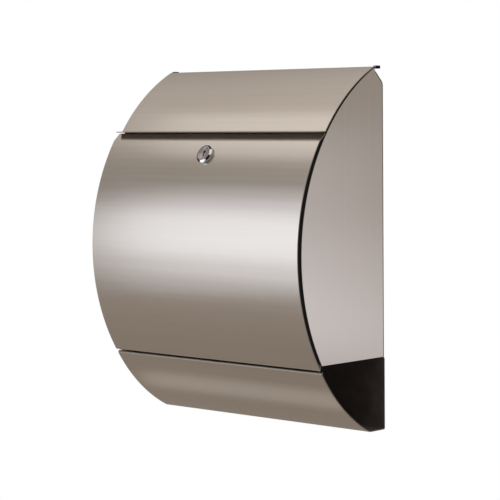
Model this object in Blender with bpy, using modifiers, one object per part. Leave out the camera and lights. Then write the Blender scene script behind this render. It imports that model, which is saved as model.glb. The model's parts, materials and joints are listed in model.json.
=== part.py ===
"""A wall-mounted stainless-steel mailbox: a curved drop-down door above an open newspaper tray.

Metres, +Z up.  The front faces -Y and the wall plane is Y = 0.  Heights in this file are measured from the
underside of the tray.  The empty "mailbox" then lowers the whole assembly, so that the world origin is the
middle of the wall face.  Each sheet-metal piece is a side-view path of (y, z) points swept along X.
"""

import math

import bmesh
import bpy
from mathutils import Vector

# Overall sizes
BODY_WIDTH = 0.300
DOOR_WIDTH = 0.304
FLAP_WIDTH = 0.301
SHEET = 0.001
GAP = 0.0003
WALL_POINT_HEIGHT = 0.192

# Sheet bends
BEND_RADIUS = 0.0015
SHARP_TURN = math.radians(12)
ARC_STEPS = 28

# Side panels
SIDE_CENTRE = Vector((0.0876, 0.1889))
SIDE_RADIUS = 0.2189
SIDE_BOTTOM = 0.0772
SIDE_FLANGE_WIDTH = 0.012
SIDE_FLANGE_HEIGHTS = (0.096, 0.355)

# Back panel and the roof bent forward from its top
BACK_BOTTOM = 0.0013
ROOF_BEND_HEIGHT = 0.3637
ROOF_BEND_RADIUS = 0.008
ROOF_SLOPE = math.radians(45)
ROOF_LENGTH = 0.0105

# Four holes for wall screws, each with a rubber washer inside
WALL_HOLE_RADIUS = 0.004
WALL_HOLE_SPACING = 0.200
WALL_HOLE_HEIGHTS = (0.110, 0.330)
WASHER_RADIUS = 0.0085
WASHER_THICKNESS = 0.002

# Compartment floor
FLOOR_FRONT = -0.086
FLOOR_REAR_LIP = 0.014
FLOOR_FRONT_LIP = 0.005

# Door: its outer face is an arc, and its lower edge is rolled round the hinge rod
DOOR_CENTRE = Vector((0.0760, 0.1893))
DOOR_RADIUS = 0.216
DOOR_TOP = 0.307
DOOR_CHAMFER_END = Vector((-0.0958, 0.3148))
DOOR_HINGE_HEIGHT = 0.0758
DOOR_ROD_RADIUS = 0.002
DOOR_KNUCKLE_RADIUS = DOOR_ROD_RADIUS + GAP + SHEET
DOOR_KNUCKLE_WRAP = math.radians(265)

# The door's knuckle is open at its ends, to clear the side panels, and where three arms hold the rod
DOOR_ROD_LENGTH = 0.2968
HINGE_ARM_PLACES = {"left": -0.120, "middle": 0.0, "right": 0.120}
HINGE_ARM_WIDTH = 0.014
HINGE_ARM_THICKNESS = 0.0017
HINGE_ARM_OVERLAP = 0.012
KNUCKLE_NOTCH_WIDTH = HINGE_ARM_WIDTH + 0.002
KNUCKLE_NOTCH_START = math.radians(240)
KNUCKLE_NOTCH_END = math.radians(485)

# Newspaper tray: it starts just under the door, flush with it, and curves back to the wall.  Between its
# ends the upper edge is folded level inward, and then up, behind the door's knuckle
TRAY_START = 0.0042
TRAY_HEM = Vector((0.007, 0.003))
TRAY_HEM_INSET = 0.008
TRAY_RADIUS = 0.194
TRAY_FLAT_FRONT = -0.027
TRAY_BEND_RADIUS = 0.012
TRAY_REAR_LIP = 0.0765

# Rubber seals on the front edges of the side panels
SEAL_HEIGHTS = (0.084, 0.3050)
SEAL_WIDTH = 0.003
SEAL_DOOR_GAP = 0.0006
SEAL_LEG_RADIUS = 0.2150
SEAL_LEG_WIDTH = 0.0018
SEAL_OVERLAP = 0.0008
SEAL_TIP_OFFSET = Vector((0.0009, -0.0012))

# Flap over the mail slot
FLAP_REAR = Vector((-0.0075, 0.3833))
FLAP_RIDGE = Vector((-0.0155, 0.3833))
FLAP_ROOT = Vector((-0.0935, 0.3167))
FLAP_LIP = Vector((-0.1030, 0.3167))
FLAP_RADIUS = 0.205
FLAP_HINGE = Vector((-0.0145, 0.3796))
FLAP_ROD_RADIUS = 0.0015
FLAP_KNUCKLE_RADIUS = FLAP_ROD_RADIUS + GAP + SHEET
FLAP_KNUCKLE_WRAP = math.radians(265)
FLAP_LEAF_ANGLE = math.radians(118)
FLAP_LEAF_REACH = 0.014
FLAP_LEAF_WIDTH = 0.040
FLAP_LEAF_PLACES = {"left": -0.100, "middle": 0.0, "right": 0.100}
FLAP_BRACKET_THICKNESS = 0.002
FLAP_BRACKET_FOOT = (Vector((-0.0215, 0.3640)), Vector((-0.0085, 0.3640)))

# Rubber edging on the flap's rear edge, with closed ends
EDGING_WALL = 0.0008
EDGING_TOP_REACH = 0.0058
EDGING_FOOT_REACH = 0.0035

# Rubber bumpers under the flap's lower corners
BUMPER_HEIGHT = 0.325
BUMPER_SIZE = Vector((0.007, 0.005, 0.009))
BUMPER_BEVEL = 0.0008

# Cam lock, square to the door: heights along its axis are from the door's outer face, outward positive
LOCK_HEIGHT = 0.2925
LOCK_HOLE_RADIUS = 0.0084
LOCK_BARREL_RADIUS = 0.008
LOCK_BEZEL_RADIUS = 0.0103
LOCK_BEZEL_FACE = 0.0042
LOCK_BEZEL_CHAMFER = 0.0020
LOCK_BARREL_END = -0.0175
LOCK_PLUG_RADIUS = 0.0059
LOCK_PLUG_FACE = 0.0037
LOCK_PLUG_END = -0.0185
PLUG_STUB_RADIUS = 0.0040
PLUG_STUB_END = -0.0227
PLUG_THREAD_END = -0.0130
KEYHOLE_SIZE = Vector((0.0014, 0.0076, 0.0060))
NUT_RADIUS = 0.0125
NUT_SPAN = (-0.0057, -0.0017)
CAM_MIDDLE = -0.0215
CAM_THICKNESS = 0.002
CAM_HUB_RADIUS = 0.008
CAM_TIP_RADIUS = 0.005
CAM_REACH = 0.025
CAM_WASHER_SPAN = (-0.0238, -0.0230)
CAM_WASHER_RADIUS = 0.0065
CAM_SCREW_RADIUS = 0.0023
CAM_SCREW_HEAD = (-0.0274, -0.0241)
CAM_SCREW_HEAD_RADIUS = 0.0046

# Rail that the cam turns up behind, measured square to the door from the lock
RAIL_DEPTH = 0.0185
RAIL_RISE = (0.012, 0.032)
RAIL_FRONT = -0.0875

ROUND_STEPS = 32


def clear_scene():
    for obj in list(bpy.data.objects):
        bpy.data.objects.remove(obj, do_unlink=True)


def new_collection(name):
    collection = bpy.data.collections.new(name)
    bpy.context.scene.collection.children.link(collection)
    return collection


def new_material(name, colour, roughness, metallic):
    material = bpy.data.materials.new(name)
    material.use_nodes = True
    shader = material.node_tree.nodes["Principled BSDF"]
    shader.inputs["Base Color"].default_value = (*colour, 1.0)
    shader.inputs["Roughness"].default_value = roughness
    shader.inputs["Metallic"].default_value = metallic
    return material


# Side-view geometry: 2D vectors of (y, z), angles in radians from +Y towards +Z


def polar(centre, radius, angle):
    return centre + radius * Vector((math.cos(angle), math.sin(angle)))


def arc(centre, radius, start, end, steps=ARC_STEPS):
    return [polar(centre, radius, start + (end - start) * step / steps) for step in range(steps + 1)]


def front_angle(centre, radius, height):
    """Where the front half of a circle reaches a height."""
    return math.pi - math.asin((height - centre.y) / radius)


def bulge(start, end, radius, steps=ARC_STEPS):
    """An arc from start to end that bulges to the right of that direction."""
    chord = end - start
    inward = Vector((-chord.y, chord.x)).normalized()
    centre = (start + end) / 2 + inward * math.sqrt(radius**2 - (chord.length / 2) ** 2)
    first = (start - centre).angle_signed(Vector((1, 0)))
    turn = 2 * math.asin(chord.length / 2 / radius)
    return arc(centre, radius, first, first + turn, steps)


def bend(path, radius=BEND_RADIUS, steps=5):
    """Rounds the sharp corners of a path, as a folded sheet's are."""
    rounded = [path[0]]
    for before, corner, after in zip(path, path[1:], path[2:]):
        back = (before - corner).normalized()
        onward = (after - corner).normalized()
        turn = math.pi - back.angle(onward)
        if turn < SHARP_TURN:
            rounded.append(corner)
            continue
        centre = corner + (back + onward).normalized() * radius / math.cos(turn / 2)
        reach = radius * math.tan(turn / 2)
        first = (corner + back * reach - centre).normalized()
        last = (corner + onward * reach - centre).normalized()
        rounded += [centre + first.slerp(last, step / steps) * radius for step in range(steps + 1)]
    return rounded + [path[-1]]


# Makers of pieces


def add_piece(name, data, material, collection):
    piece = bpy.data.objects.new(name, data)
    collection.objects.link(piece)
    if material:
        piece.data.materials.append(material)
    return piece


def smooth(piece):
    piece.data.shade_smooth()
    piece.data.set_sharp_from_angle(angle=math.radians(30))


def sheet(name, path, width, material, collection, middle=0.0, thickness=SHEET):
    """Folded sheet metal: the path is the middle of the sheet's thickness."""
    shape = bmesh.new()
    start = [shape.verts.new((middle - width / 2, y, z)) for y, z in path]
    edges = [shape.edges.new(pair) for pair in zip(start, start[1:])]
    swept = bmesh.ops.extrude_edge_only(shape, edges=edges)["geom"]
    ends = [item for item in swept if isinstance(item, bmesh.types.BMVert)]
    bmesh.ops.translate(shape, verts=ends, vec=(width, 0, 0))
    mesh = bpy.data.meshes.new(name)
    shape.to_mesh(mesh)
    shape.free()
    piece = add_piece(name, mesh, material, collection)
    solidify = piece.modifiers.new("sheet", "SOLIDIFY")
    solidify.thickness = thickness
    solidify.offset = 0
    solidify.use_even_offset = True
    smooth(piece)
    return piece


def flat(name, outlines, thickness, material, collection):
    """A plate in its own XY plane. Outlines inside the first are holes."""
    curve = bpy.data.curves.new(name, "CURVE")
    curve.dimensions = "2D"
    curve.fill_mode = "BOTH"
    curve.extrude = thickness / 2
    for outline in outlines:
        spline = curve.splines.new("POLY")
        spline.points.add(len(outline) - 1)
        for point, (x, y) in zip(spline.points, outline):
            point.co = (x, y, 0, 1)
        spline.use_cyclic_u = True
    return add_piece(name, curve, material, collection)


def side_plate(name, outlines, x_span, material, collection):
    """A plate that stands in the YZ plane between two X values."""
    low, high = sorted(x_span)
    piece = flat(name, outlines, high - low, material, collection)
    piece.rotation_euler = (math.pi / 2, 0, math.pi / 2)
    piece.location.x = (low + high) / 2
    return piece


def as_mesh(piece, collection):
    """The same piece as a mesh, welded, so that it can be cut or joined."""
    bpy.context.view_layer.update()
    name = piece.name
    graph = bpy.context.evaluated_depsgraph_get()
    mesh = bpy.data.meshes.new_from_object(piece.evaluated_get(graph))
    shape = bmesh.new()
    shape.from_mesh(mesh)
    bmesh.ops.remove_doubles(shape, verts=shape.verts, dist=1e-6)
    bmesh.ops.recalc_face_normals(shape, faces=shape.faces)
    shape.to_mesh(mesh)
    shape.free()
    place = piece.matrix_world.copy()
    bpy.data.objects.remove(piece)
    solid = add_piece(name, mesh, None, collection)
    solid.matrix_world = place
    return solid


def block(name, size, material, collection):
    shape = bmesh.new()
    bmesh.ops.create_cube(shape, size=1)
    bmesh.ops.scale(shape, verts=shape.verts, vec=size)
    mesh = bpy.data.meshes.new(name)
    shape.to_mesh(mesh)
    shape.free()
    return add_piece(name, mesh, material, collection)


def cylinder(name, radius, length, material, collection):
    shape = bmesh.new()
    bmesh.ops.create_cone(
        shape, cap_ends=True, segments=ROUND_STEPS, radius1=radius, radius2=radius, depth=length
    )
    mesh = bpy.data.meshes.new(name)
    shape.to_mesh(mesh)
    shape.free()
    piece = add_piece(name, mesh, material, collection)
    smooth(piece)
    return piece


def rod(name, radius, length, place, material, collection):
    """A round bar along X through a side-view point."""
    piece = cylinder(name, radius, length, material, collection)
    piece.rotation_euler.y = math.pi / 2
    piece.location = (0, *place)
    return piece


def turned(name, profile, material, collection, ring=False):
    """A lathe-turned piece about its own Z. The profile is (radius, z), down its outer side."""
    mesh = bpy.data.meshes.new(name)
    edges = [(index, index + 1) for index in range(len(profile) - 1)]
    if ring:
        edges.append((len(profile) - 1, 0))
    mesh.from_pydata([(radius, 0, z) for radius, z in profile], edges, [])
    piece = add_piece(name, mesh, material, collection)
    screw = piece.modifiers.new("turning", "SCREW")
    screw.axis = "Z"
    screw.angle = 2 * math.pi
    screw.steps = ROUND_STEPS
    screw.render_steps = ROUND_STEPS
    screw.use_merge_vertices = True
    screw.merge_threshold = 1e-6
    return piece


def combine(piece, other, operation, helpers):
    """A Boolean between two meshes. The other one becomes a hidden helper."""
    boolean = piece.modifiers.new(operation.lower(), "BOOLEAN")
    boolean.operation = operation
    boolean.solver = "EXACT"
    boolean.object = other
    for collection in other.users_collection:
        collection.objects.unlink(other)
    helpers.objects.link(other)
    other.hide_render = True
    other.display_type = "WIRE"


def circle(radius, centre=(0, 0), steps=ROUND_STEPS):
    return arc(Vector(centre), radius, 0, 2 * math.pi, steps)[:-1]


def tapered_bar(hub_radius, tip_radius, reach):
    """The outline round two circles, the first at the origin and the second at (reach, 0)."""
    lean = math.acos((hub_radius - tip_radius) / reach)
    hub = arc(Vector((0, 0)), hub_radius, lean, 2 * math.pi - lean, ROUND_STEPS // 2)
    tip = arc(Vector((reach, 0)), tip_radius, -lean, lean, ROUND_STEPS // 2)
    return hub + tip


# Places worked out from the driving dimensions

HALF_BODY = BODY_WIDTH / 2
INNER_HALF = HALF_BODY - SHEET
HINGE_RADIUS = DOOR_RADIUS - DOOR_KNUCKLE_RADIUS
HINGE_ANGLE = front_angle(DOOR_CENTRE, HINGE_RADIUS, DOOR_HINGE_HEIGHT)
DOOR_HINGE = polar(DOOR_CENTRE, HINGE_RADIUS, HINGE_ANGLE)
LOCK_ANGLE = front_angle(DOOR_CENTRE, DOOR_RADIUS, LOCK_HEIGHT)
LOCK_PLACE = polar(DOOR_CENTRE, DOOR_RADIUS, LOCK_ANGLE)
LOCK_TILT = LOCK_ANGLE - math.pi / 2


def from_lock(rise, depth):
    """A side-view point that lies up along the door from the lock and inside the door's outer face."""
    outward = Vector((math.cos(LOCK_ANGLE), math.sin(LOCK_ANGLE)))
    upward = Vector((outward.y, -outward.x))
    return LOCK_PLACE + upward * rise - outward * depth


# Body


def roof_path(offset, length):
    """The back panel's bend and the sloping roof, at a depth under their outer face."""
    centre = Vector((-ROOF_BEND_RADIUS, ROOF_BEND_HEIGHT))
    turn = arc(centre, ROOF_BEND_RADIUS - offset, 0, ROOF_SLOPE, 6)
    slope = Vector((-math.sin(ROOF_SLOPE), math.cos(ROOF_SLOPE)))
    return turn + [turn[-1] + slope * length]


def make_back_panel(steel, part, helpers):
    middle = SHEET / 2
    path = [Vector((-middle, BACK_BOTTOM))] + roof_path(middle, ROOF_LENGTH)
    panel = sheet("back_panel", path, BODY_WIDTH, steel, part)
    for x in (-WALL_HOLE_SPACING / 2, WALL_HOLE_SPACING / 2):
        for height in WALL_HOLE_HEIGHTS:
            drill = cylinder("wall_hole", WALL_HOLE_RADIUS, 10 * SHEET, None, helpers)
            drill.rotation_euler.x = math.pi / 2
            drill.location = (x, -middle, height)
            combine(panel, drill, "DIFFERENCE", helpers)
    return panel


def side_outline():
    """The side panel: front arc, peak flush with the roof, edge under the roof, rear edge and bottom."""
    inset = SHEET + GAP
    roof = roof_path(inset, ROOF_LENGTH + GAP)
    peak = roof_path(0, ROOF_LENGTH + GAP)[-1]
    slope = Vector((-math.sin(ROOF_SLOPE), math.cos(ROOF_SLOPE)))
    start = peak - SIDE_CENTRE
    along = start.dot(slope)
    length = -along + math.sqrt(along**2 - start.length_squared + SIDE_RADIUS**2)
    apex = peak + slope * length
    top = math.atan2(apex.y - SIDE_CENTRE.y, apex.x - SIDE_CENTRE.x)
    front = arc(SIDE_CENTRE, SIDE_RADIUS, front_angle(SIDE_CENTRE, SIDE_RADIUS, SIDE_BOTTOM), top, 44)
    return [Vector((-inset, SIDE_BOTTOM))] + roof + [peak] + front[::-1]


def make_side_panel(name, side, steel, part, helpers):
    """A flat side with a flange turned inward along the back panel."""
    outline = side_outline()
    panel = side_plate(name, [outline], (side * INNER_HALF, side * HALF_BODY), None, part)
    panel = as_mesh(panel, part)
    panel.data.materials.clear()
    panel.data.materials.append(steel)
    low, high = SIDE_FLANGE_HEIGHTS
    flange = block("side_flange", Vector((SIDE_FLANGE_WIDTH, SHEET, high - low)), None, helpers)
    flange.location = (
        side * (HALF_BODY - SIDE_FLANGE_WIDTH / 2 - SHEET / 4),
        -GAP - 1.5 * SHEET,
        (low + high) / 2,
    )
    combine(panel, flange, "UNION", helpers)
    return panel


def make_floor(steel, part):
    rear = -GAP - 1.5 * SHEET
    level = SIDE_BOTTOM + SHEET / 2
    path = [
        Vector((rear, level + FLOOR_REAR_LIP)),
        Vector((rear, level)),
        Vector((FLOOR_FRONT, level)),
        Vector((FLOOR_FRONT, level + FLOOR_FRONT_LIP)),
    ]
    width = 2 * (INNER_HALF - GAP)
    return sheet("compartment_floor", bend(path), width, steel, part)


def make_tray(steel, part, helpers):
    """One sheet, flush with the door, curving down and back, then up against the back panel."""
    middle = SHEET / 2
    top = polar(DOOR_CENTRE, DOOR_RADIUS - middle, HINGE_ANGLE + TRAY_START / DOOR_RADIUS)
    rear = -GAP - 1.5 * SHEET
    curve = bulge(top, Vector((TRAY_FLAT_FRONT, middle)), TRAY_RADIUS - middle, 20)
    bottom = bend(curve + [Vector((rear, middle))], TRAY_BEND_RADIUS)
    corner = bend([bottom[-2], Vector((rear, middle)), Vector((rear, TRAY_REAR_LIP))])
    hem_corner = top + Vector((TRAY_HEM.x, 0))
    hem = bend([top + TRAY_HEM, hem_corner, top, bottom[1]])
    tray = sheet("newspaper_tray", hem[:-1] + bottom[1:-1] + corner[1:], DOOR_WIDTH, steel, part)
    for side in (-1, 1):
        end = block("hem_end", Vector((2 * TRAY_HEM_INSET, 2 * TRAY_HEM.x, 2 * TRAY_HEM.y)), None, helpers)
        end.location = (side * DOOR_WIDTH / 2, top.x + TRAY_HEM.x + BEND_RADIUS, top.y + TRAY_HEM.y - SHEET)
        combine(tray, end, "DIFFERENCE", helpers)
    return tray


def make_lock_rail(steel, part):
    """The cross rail: a web parallel to the door at the lock, folded forward along its top."""
    low, high = RAIL_RISE
    top = from_lock(high, RAIL_DEPTH)
    path = [from_lock(low, RAIL_DEPTH), top, Vector((RAIL_FRONT, top.y))]
    return sheet("lock_rail", bend(path), 2 * (INNER_HALF - GAP), steel, part)


def make_seal(name, side, rubber, part, helpers):
    """An L-section strip: it caps the side panel's front edge, and its leg lies on the inner face."""
    low, high = SEAL_HEIGHTS
    outer = DOOR_RADIUS - SHEET - SEAL_DOOR_GAP
    inner = SIDE_RADIUS + GAP
    lower, upper = (front_angle(DOOR_CENTRE, outer, height) for height in (low, high))
    tip = DOOR_CHAMFER_END + SEAL_TIP_OFFSET
    cap_outline = arc(DOOR_CENTRE, outer, lower, upper) + [tip]
    lower, upper, tip_angle = (front_angle(SIDE_CENTRE, inner, height) for height in (low, high, tip.y))
    cap_outline += arc(SIDE_CENTRE, inner, tip_angle, lower)
    leg_outline = arc(SIDE_CENTRE, inner + SEAL_OVERLAP, lower, upper)
    leg_outline += arc(SIDE_CENTRE, SEAL_LEG_RADIUS, upper, lower)
    outside = HALF_BODY - GAP
    cap_span = (side * (outside - SEAL_WIDTH), side * outside)
    leg_outside = INNER_HALF - GAP
    leg_span = (side * (leg_outside - SEAL_LEG_WIDTH), side * leg_outside)
    seal = as_mesh(side_plate(name, [cap_outline], cap_span, None, part), part)
    leg = as_mesh(side_plate("seal_leg", [leg_outline], leg_span, None, helpers), helpers)
    seal.data.materials.append(rubber)
    combine(seal, leg, "UNION", helpers)
    return seal


def make_hinge_arm(place, x, steel, part):
    """A flat arm welded under the floor, whose end holds the door's hinge rod from behind."""
    top = SIDE_BOTTOM - GAP
    size = Vector(
        (
            HINGE_ARM_WIDTH,
            FLOOR_FRONT + HINGE_ARM_OVERLAP - DOOR_HINGE.x - DOOR_ROD_RADIUS - GAP,
            HINGE_ARM_THICKNESS,
        )
    )
    arm = block(f"door_hinge_arm_{place}", size, steel, part)
    front = DOOR_HINGE.x + DOOR_ROD_RADIUS + GAP
    arm.location = (x, front + size.y / 2, top - HINGE_ARM_THICKNESS / 2)
    return arm


def make_wall_washers(rubber, part):
    rear = -SHEET - GAP
    profile = [
        (WALL_HOLE_RADIUS, WASHER_THICKNESS),
        (WASHER_RADIUS, WASHER_THICKNESS),
        (WASHER_RADIUS, 0),
        (WALL_HOLE_RADIUS, 0),
    ]
    washers = []
    for side, x in (("left", -WALL_HOLE_SPACING / 2), ("right", WALL_HOLE_SPACING / 2)):
        for level, height in zip(("lower", "upper"), WALL_HOLE_HEIGHTS):
            washer = turned(f"wall_washer_{level}_{side}", profile, rubber, part, ring=True)
            washer.rotation_euler.x = math.pi / 2
            washer.location = (x, rear, height)
            washers.append(washer)
    return washers


def make_bumper(name, side, rubber, part):
    """A rubber block on the side panel's inner face, square to the flap that rests on it."""
    curve = bulge(FLAP_RIDGE, FLAP_ROOT, FLAP_RADIUS)
    face = min(curve, key=lambda point: abs(point.y - BUMPER_HEIGHT))
    onward = curve[curve.index(face) + 1] - face
    outward = Vector((onward.y, -onward.x)).normalized()
    centre = face - outward * (SHEET / 2 + GAP + BUMPER_SIZE.y / 2)
    bumper = block(name, BUMPER_SIZE, rubber, part)
    bumper.location = (side * (INNER_HALF - GAP - BUMPER_SIZE.x / 2), *centre)
    bumper.rotation_euler.x = math.atan2(-outward.y, -outward.x)
    bevel = bumper.modifiers.new("edges", "BEVEL")
    bevel.width = BUMPER_BEVEL
    bevel.segments = 2
    return bumper


def make_flap_bracket(name, side, steel, part):
    """A small plate on the side panel's inner face that carries one end of the flap's rod."""
    front_foot, rear_foot = FLAP_BRACKET_FOOT
    head = arc(FLAP_HINGE, FLAP_KNUCKLE_RADIUS, math.radians(-60), math.radians(165), 16)
    outline = [front_foot, rear_foot] + head
    eye = circle(FLAP_ROD_RADIUS + GAP, FLAP_HINGE, 20)
    outside = INNER_HALF - GAP
    span = (side * (outside - FLAP_BRACKET_THICKNESS), side * outside)
    return side_plate(name, [outline, eye], span, steel, part)


# Flap


def make_flap(steel, part):
    curve = bulge(FLAP_RIDGE, FLAP_ROOT, FLAP_RADIUS)
    return sheet("flap", bend([FLAP_REAR] + curve + [FLAP_LIP]), FLAP_WIDTH, steel, part)


def make_flap_leaf(place, x, steel, part):
    """A hinge leaf under the flap, with its rear end rolled round the rod."""
    radius = FLAP_KNUCKLE_RADIUS - SHEET / 2
    knuckle = arc(FLAP_HINGE, radius, FLAP_LEAF_ANGLE, FLAP_LEAF_ANGLE - FLAP_KNUCKLE_WRAP, 24)
    along = Vector((-math.sin(FLAP_LEAF_ANGLE), math.cos(FLAP_LEAF_ANGLE)))
    path = [knuckle[0] + along * FLAP_LEAF_REACH] + knuckle
    return sheet(f"flap_hinge_leaf_{place}", path, FLAP_LEAF_WIDTH, steel, part, middle=x)


def make_edging(rubber, part, helpers):
    """A rubber channel pushed over the flap's rear edge. It lands on the roof when the flap is open."""
    half_height = SHEET / 2 + GAP + EDGING_WALL
    rear = FLAP_REAR.x + GAP + EDGING_WALL
    outline = [
        Vector((rear, -half_height)),
        Vector((rear, half_height)),
        Vector((rear - EDGING_TOP_REACH, half_height)),
        Vector((rear - EDGING_TOP_REACH, 0)),
        Vector((rear - EDGING_FOOT_REACH, 0)),
        Vector((rear - EDGING_FOOT_REACH, -half_height)),
    ]
    outline = [point + Vector((0, FLAP_REAR.y)) for point in outline]
    end = FLAP_WIDTH / 2 + GAP
    span = (-end - EDGING_WALL, end + EDGING_WALL)
    edging = as_mesh(side_plate("flap_edging", [outline], span, None, part), part)
    edging.data.materials.append(rubber)
    slot = block("edging_slot", Vector((2 * end, 0.016, SHEET + 2 * GAP)), None, helpers)
    slot.location = (0, FLAP_REAR.x + GAP - 0.008, FLAP_REAR.y)
    combine(edging, slot, "DIFFERENCE", helpers)
    return edging


# Door


def make_door(steel, part, helpers):
    middle = SHEET / 2
    top = front_angle(DOOR_CENTRE, DOOR_RADIUS, DOOR_TOP)
    face = arc(DOOR_CENTRE, DOOR_RADIUS - middle, top, HINGE_ANGLE, 40)
    knuckle_radius = DOOR_KNUCKLE_RADIUS - middle
    knuckle = arc(DOOR_HINGE, knuckle_radius, HINGE_ANGLE, HINGE_ANGLE + DOOR_KNUCKLE_WRAP, 24)
    door = sheet("door", bend([DOOR_CHAMFER_END] + face) + knuckle[1:], DOOR_WIDTH, steel, part)
    half_notch = KNUCKLE_NOTCH_WIDTH / 2
    for x in HINGE_ARM_PLACES.values():
        cut_knuckle(door, (x - half_notch, x + half_notch), helpers)
    for side in (-1, 1):
        cut_knuckle(door, (side * DOOR_ROD_LENGTH / 2, side * DOOR_WIDTH), helpers)
    drill = cylinder("lock_hole", LOCK_HOLE_RADIUS, 20 * SHEET, None, helpers)
    drill.rotation_euler.x = LOCK_TILT
    drill.location = (0, *LOCK_PLACE)
    combine(door, drill, "DIFFERENCE", helpers)
    return door


def cut_knuckle(door, span, helpers):
    """Opens the knuckle's hidden rear part, and leaves its front, which the closed door shows."""
    radius = 1.5 * DOOR_KNUCKLE_RADIUS
    wedge = [DOOR_HINGE] + arc(DOOR_HINGE, radius, KNUCKLE_NOTCH_START, KNUCKLE_NOTCH_END, 24)
    cutter = as_mesh(side_plate("knuckle_notch", [wedge], span, None, helpers), helpers)
    combine(door, cutter, "DIFFERENCE", helpers)


# Lock, in its own frame: Z points out of the door and Y up along it


def make_lock_barrel(chrome, part):
    bore = LOCK_PLUG_RADIUS + GAP
    profile = [
        (bore, LOCK_BEZEL_FACE),
        (LOCK_BEZEL_RADIUS - LOCK_BEZEL_CHAMFER, LOCK_BEZEL_FACE),
        (LOCK_BEZEL_RADIUS, LOCK_BEZEL_FACE - LOCK_BEZEL_CHAMFER),
        (LOCK_BEZEL_RADIUS, GAP),
        (LOCK_BARREL_RADIUS, GAP),
        (LOCK_BARREL_RADIUS, LOCK_BARREL_END),
        (bore, LOCK_BARREL_END),
    ]
    return turned("lock_barrel", profile, chrome, part, ring=True)


def make_lock_plug(chrome, part, helpers):
    thread = CAM_SCREW_RADIUS + GAP
    profile = [
        (0, LOCK_PLUG_FACE),
        (LOCK_PLUG_RADIUS, LOCK_PLUG_FACE),
        (LOCK_PLUG_RADIUS, LOCK_PLUG_END),
        (PLUG_STUB_RADIUS, LOCK_PLUG_END),
        (PLUG_STUB_RADIUS, PLUG_STUB_END),
        (thread, PLUG_STUB_END),
        (thread, PLUG_THREAD_END),
        (0, PLUG_THREAD_END),
    ]
    plug = turned("lock_plug", profile, chrome, part)
    keyhole = block("keyhole", KEYHOLE_SIZE, None, helpers)
    combine(plug, keyhole, "DIFFERENCE", helpers)
    return plug, keyhole


def make_lock_nut(zinc, part):
    low, high = NUT_SPAN
    outlines = [circle(NUT_RADIUS, steps=6), circle(LOCK_BARREL_RADIUS + GAP)]
    nut = flat("lock_nut", outlines, high - low, zinc, part)
    nut.location.z = (low + high) / 2
    return nut


def make_cam(zinc, part):
    outlines = [
        tapered_bar(CAM_HUB_RADIUS, CAM_TIP_RADIUS, CAM_REACH),
        circle(PLUG_STUB_RADIUS + GAP),
    ]
    cam = flat("lock_cam", outlines, CAM_THICKNESS, zinc, part)
    cam.location.z = CAM_MIDDLE
    return cam


def make_cam_washer(zinc, part):
    low, high = CAM_WASHER_SPAN
    bore = CAM_SCREW_RADIUS + GAP
    profile = [(bore, high), (CAM_WASHER_RADIUS, high), (CAM_WASHER_RADIUS, low), (bore, low)]
    return turned("cam_washer", profile, zinc, part, ring=True)


def make_cam_screw(zinc, part):
    low, high = CAM_SCREW_HEAD
    profile = [
        (0, PLUG_THREAD_END - GAP),
        (CAM_SCREW_RADIUS, PLUG_THREAD_END - GAP),
        (CAM_SCREW_RADIUS, high),
        (CAM_SCREW_HEAD_RADIUS, high),
        (CAM_SCREW_HEAD_RADIUS, (low + high) / 2),
        (CAM_SCREW_HEAD_RADIUS / 2, low),
        (0, low),
    ]
    return turned("cam_screw", profile, zinc, part)


# Assembly


def pivot(name, part, parent=None, place=(0, 0)):
    """An empty on a joint's axis, or one that carries the pieces of a fixed group."""
    empty = bpy.data.objects.new(name, None)
    empty.empty_display_size = 0.03
    part.objects.link(empty)
    empty.location = (0, *place)
    if parent:
        empty.parent = parent
        empty.location -= parent.location
    return empty


def carry(parent, *pieces):
    """Hangs pieces, which are drawn in the assembly's own place, on an empty of the assembly."""
    for piece in pieces:
        piece.parent = parent
        piece.location -= parent.location


def build_body(part, helpers, steel, rod_steel, rubber):
    pieces = [make_back_panel(steel, part, helpers)]
    for side_name, side in (("left", -1), ("right", 1)):
        pieces.append(make_side_panel(f"{side_name}_side_panel", side, steel, part, helpers))
        pieces.append(make_seal(f"{side_name}_door_seal", side, rubber, part, helpers))
        pieces.append(make_bumper(f"flap_bumper_{side_name}", side, rubber, part))
        pieces.append(make_flap_bracket(f"flap_hinge_bracket_{side_name}", side, steel, part))
    pieces.append(make_floor(steel, part))
    pieces.append(make_tray(steel, part, helpers))
    pieces.append(make_lock_rail(steel, part))
    for place, x in HINGE_ARM_PLACES.items():
        pieces.append(make_hinge_arm(place, x, steel, part))
    pieces += make_wall_washers(rubber, part)
    inside = 2 * (INNER_HALF - 2 * GAP)
    pieces.append(rod("flap_hinge_rod", FLAP_ROD_RADIUS, inside, FLAP_HINGE, rod_steel, part))
    pieces.append(rod("door_hinge_rod", DOOR_ROD_RADIUS, DOOR_ROD_LENGTH, DOOR_HINGE, rod_steel, part))
    return pieces


def build_lock(seat, turning, part, helpers, chrome, zinc):
    plug, keyhole = make_lock_plug(chrome, part, helpers)
    keyhole.location.z = LOCK_PLUG_FACE
    for piece in (make_lock_barrel(chrome, part), make_lock_nut(zinc, part)):
        piece.parent = seat
    for piece in (plug, make_cam(zinc, part), make_cam_washer(zinc, part), make_cam_screw(zinc, part)):
        piece.parent = turning
    keyhole.parent = turning


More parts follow.
